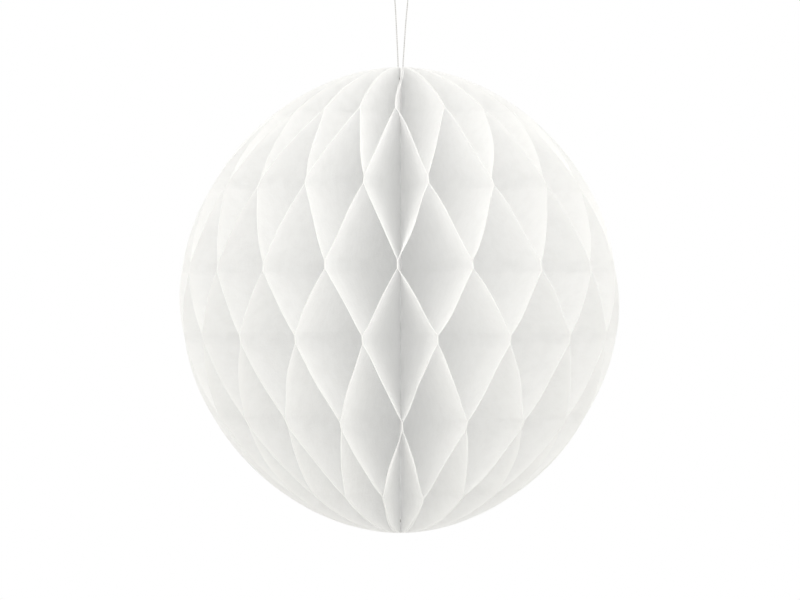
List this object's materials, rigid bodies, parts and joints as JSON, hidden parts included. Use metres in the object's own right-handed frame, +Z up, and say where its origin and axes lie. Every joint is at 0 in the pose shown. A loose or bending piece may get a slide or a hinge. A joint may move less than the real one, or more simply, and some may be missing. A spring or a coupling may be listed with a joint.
{
  "type": "honeycomb paper ball",
  "caption": "White honeycomb paper ball of tissue leaves glued in staggered lines and fanned out round a bound spine, with a loop of thread to hang it by.",
  "frame": {"origin": "middle of the ball, on its spine", "axes": "+Z up along the spine towards the hanging loop, +Y towards the seam of the cover cards, -Y the side that the picture shows"},
  "size_m": [0.1878, 0.1879, 0.2363],
  "materials": {
    "tissue": "matte",
    "card": "matte",
    "tape": "satin",
    "thread": "matte"
  },
  "bodies": {
    "root": {"leaf_01": "tissue", "leaf_02": "tissue", "leaf_03": "tissue", "leaf_04": "tissue", "leaf_05": "tissue", "leaf_06": "tissue", "leaf_07": "tissue", "leaf_08": "tissue", "leaf_09": "tissue", "leaf_10": "tissue", "leaf_11": "tissue", "leaf_12": "tissue", "leaf_13": "tissue", "leaf_14": "tissue", "leaf_15": "tissue", "leaf_16": "tissue", "leaf_17": "tissue", "leaf_18": "tissue", "leaf_19": "tissue", "leaf_20": "tissue", "leaf_21": "tissue", "leaf_22": "tissue", "leaf_23": "tissue", "leaf_24": "tissue", "leaf_25": "tissue", "leaf_26": "tissue", "leaf_27": "tissue", "leaf_28": "tissue", "leaf_29": "tissue", "leaf_30": "tissue", "leaf_31": "tissue", "leaf_32": "tissue", "leaf_33": "tissue", "leaf_34": "tissue", "leaf_35": "tissue", "leaf_36": "tissue", "leaf_37": "tissue", "leaf_38": "tissue", "leaf_39": "tissue", "leaf_40": "tissue", "cover_card_left": "card", "cover_card_right": "card", "closure_tape_upper": "tape", "closure_tape_lower": "tape", "top_stitch": "thread", "top_knot": "thread", "bottom_stitch": "thread", "bottom_knot": "thread", "hanging_thread": "thread"}
  },
  "joints": []
}
